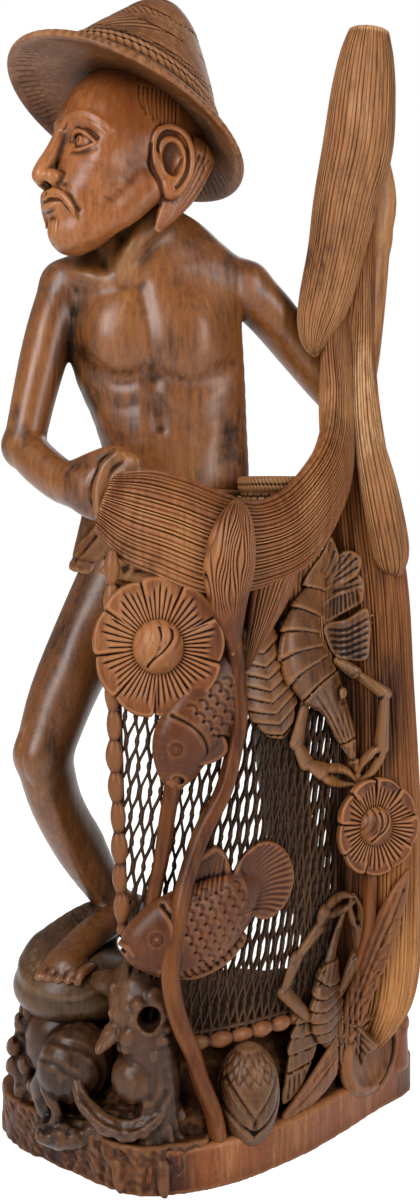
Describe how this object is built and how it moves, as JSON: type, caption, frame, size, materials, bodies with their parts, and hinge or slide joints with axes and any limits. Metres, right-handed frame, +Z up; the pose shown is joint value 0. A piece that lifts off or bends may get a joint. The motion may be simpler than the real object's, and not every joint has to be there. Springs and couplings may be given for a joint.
{
  "type": "wooden figure carving",
  "caption": "Free-standing wooden carving of a fisherman in a conical hat who holds a gathered net with lotus flowers, fish and prawns, on a rock base.",
  "frame": {"origin": "on the underside of the base, below the middle of the log", "axes": "+Z up; -Y is the carved front, where the open net is; +X is on the right of someone who faces the front"},
  "size_m": [0.2931, 0.2016, 0.7678],
  "materials": {
    "face": "polished satin brown wood, for the head",
    "straw": "brown wood cut with a woven pattern, for the hat and the creel",
    "skin": "polished satin brown wood with dark mottling, for the bare body",
    "gathered": "lighter tan wood cut with fine flutes, for the gathered net",
    "cloth": "plain satin brown wood, for the shorts",
    "lattice": "dark oiled wood in the open net",
    "flower": "reddish brown wood with fine ribs, for petals and buds",
    "stem": "smooth reddish brown wood, for stems and leaves",
    "fish": "reddish brown wood cut with scales and fin rays",
    "shrimp": "brown wood with banded shells, for the prawns and the crayfish",
    "plinth": "plain brown sawn and sanded wood, for the base",
    "rock": "dark oiled wood with glossy bumps, for rocks and shells"
  },
  "bodies": {
    "root": {"head": "face", "hat": "straw", "torso": "skin", "right_arm": "skin", "net_column": "gathered", "net_top_fold": "gathered", "net_side_fold": "gathered", "left_arm": "skin", "net_swag": "gathered", "shorts": "cloth", "creel_basket": "straw", "right_leg": "skin", "left_leg": "skin", "net_panel": "lattice", "net_floats_left": "gathered", "net_floats_bottom": "gathered", "lotus_heart_left": "flower", "lotus_flower_left": "flower", "lotus_heart_right": "flower", "lotus_flower_right": "flower", "lotus_bud_tall": "flower", "lotus_stem_long": "stem", "lotus_bud_low": "flower", "lotus_stem_right": "stem", "fish_upper": "fish", "fish_lower": "fish", "fish_lower_tail": "fish", "fish_lower_fin": "fish", "lotus_stem_short": "stem", "prawn_body": "shrimp", "prawn_tail_fan": "shrimp", "prawn_swimmerets": "shrimp", "prawn_claw_right": "shrimp", "prawn_claw_left": "shrimp", "second_prawn_tail": "shrimp", "net_under_fold": "gathered", "crayfish_body": "shrimp", "crayfish_claw_left": "shrimp", "crayfish_claw_right": "shrimp", "crayfish_fin": "shrimp", "leaf_long": "stem", "crayfish_tail_fan": "shrimp", "leaf_curled": "stem", "base_plinth": "plinth", "coral_rock": "rock", "boulder": "rock", "sea_snail": "rock", "conch_shell": "rock", "rock_nubs_left": "rock", "rock_stump_right": "rock", "rock_mound": "rock"}
  },
  "joints": []
}
